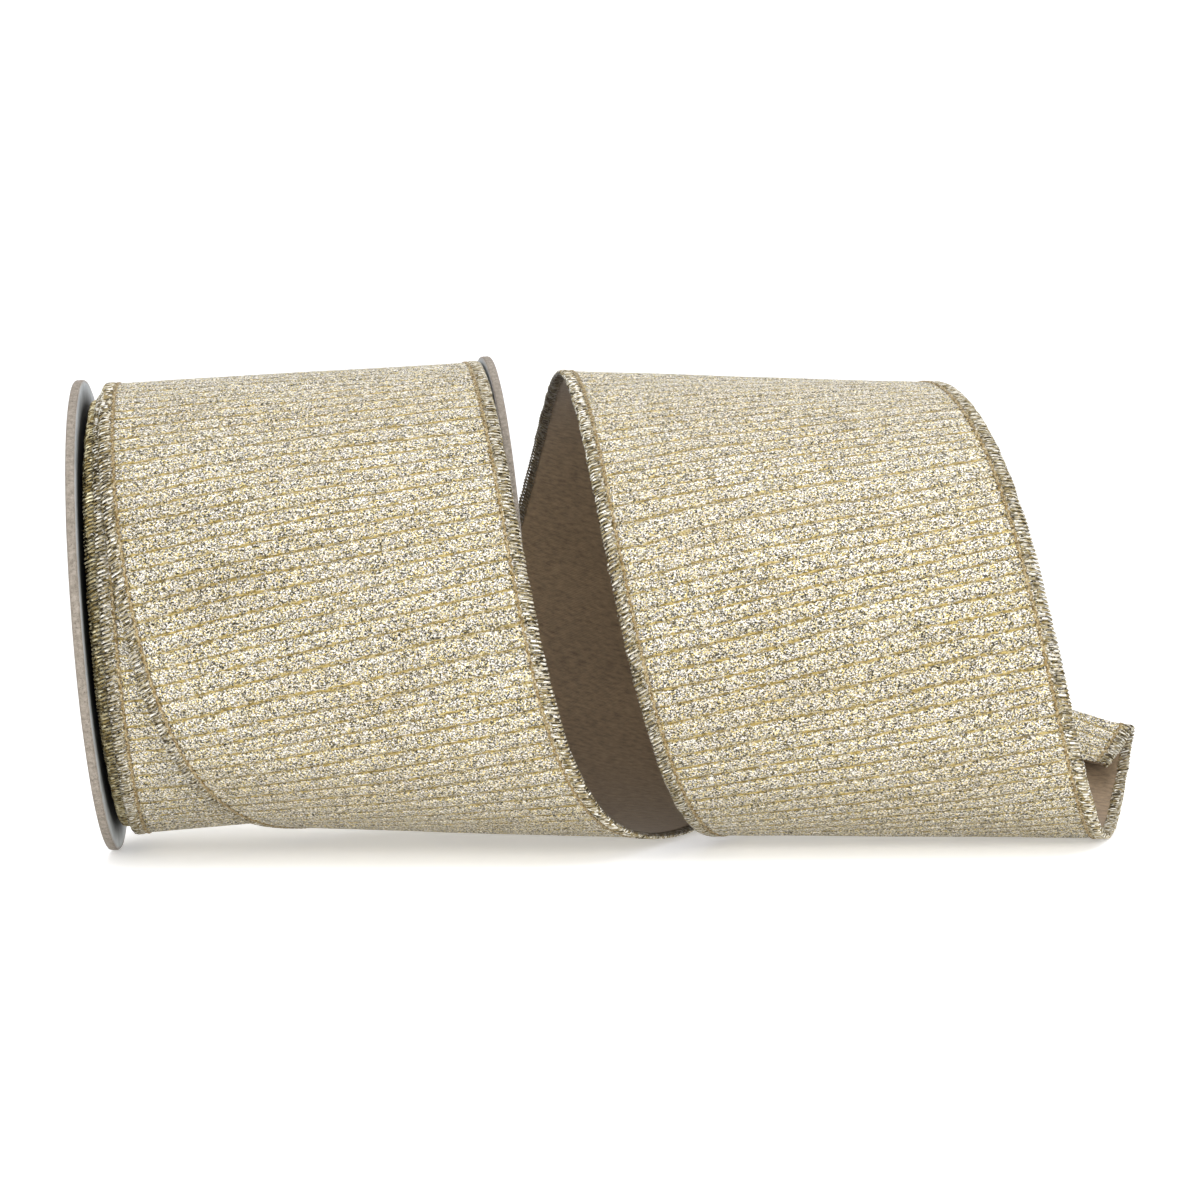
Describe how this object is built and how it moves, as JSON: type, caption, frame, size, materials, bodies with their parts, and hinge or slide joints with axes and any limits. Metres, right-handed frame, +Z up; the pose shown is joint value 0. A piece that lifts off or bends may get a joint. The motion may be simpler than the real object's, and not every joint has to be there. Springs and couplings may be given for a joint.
{
  "type": "ribbon spool",
  "caption": "Chipboard ribbon spool on its side, wound with wide wired-edge metallic ribbon whose end runs off in a loose curl.",
  "frame": {"origin": "on the surface the spool lies on, under the middle of the whole object's box", "axes": "+Z up, +X along the spool from the left flange to the ribbon's free end, -Y towards the front"},
  "size_m": [0.288, 0.1888, 0.1325],
  "materials": {
    "flange_paper": "matt grey paper skin",
    "chipboard": "raw grey-brown chipboard",
    "core_board": "wound chipboard tube",
    "tape_film": "satin adhesive tape",
    "glitter_cloth": "ribbed metallic champagne cloth with gold cross threads",
    "backing_cloth": "plain matt taupe weave",
    "overlock_thread": "silver and gold overlocked thread",
    "gold_thread": "gold chain-stitched thread",
    "edge_wire": "thin bare wire"
  },
  "bodies": {
    "ribbon_tail": {"ribbon_face_cloth": "glitter_cloth", "ribbon_backing_cloth": "backing_cloth", "ribbon_end_fold": "glitter_cloth", "ribbon_left_overlock": "overlock_thread", "ribbon_right_overlock": "overlock_thread", "ribbon_left_chain_stitch": "gold_thread", "ribbon_right_chain_stitch": "gold_thread", "ribbon_left_wire": "edge_wire", "ribbon_right_wire": "edge_wire"},
    "spool": {"left_flange_inner_paper": "flange_paper", "left_flange_board": "chipboard", "left_flange_outer_paper": "flange_paper", "right_flange_inner_paper": "flange_paper", "right_flange_board": "chipboard", "right_flange_outer_paper": "flange_paper", "core_tube": "core_board", "starter_tape": "tape_film", "wound_ribbon_web": "glitter_cloth", "wound_left_binding": "overlock_thread", "wound_right_binding": "overlock_thread"}
  },
  "joints": [
    {"name": "spool_spin", "type": "hinge", "parent": "ribbon_tail", "child": "spool", "pos_m": [-0.0854, 0.01504, 0.06623], "axis": [0.9987, 0, 0.0506], "continuous": true}
  ]
}
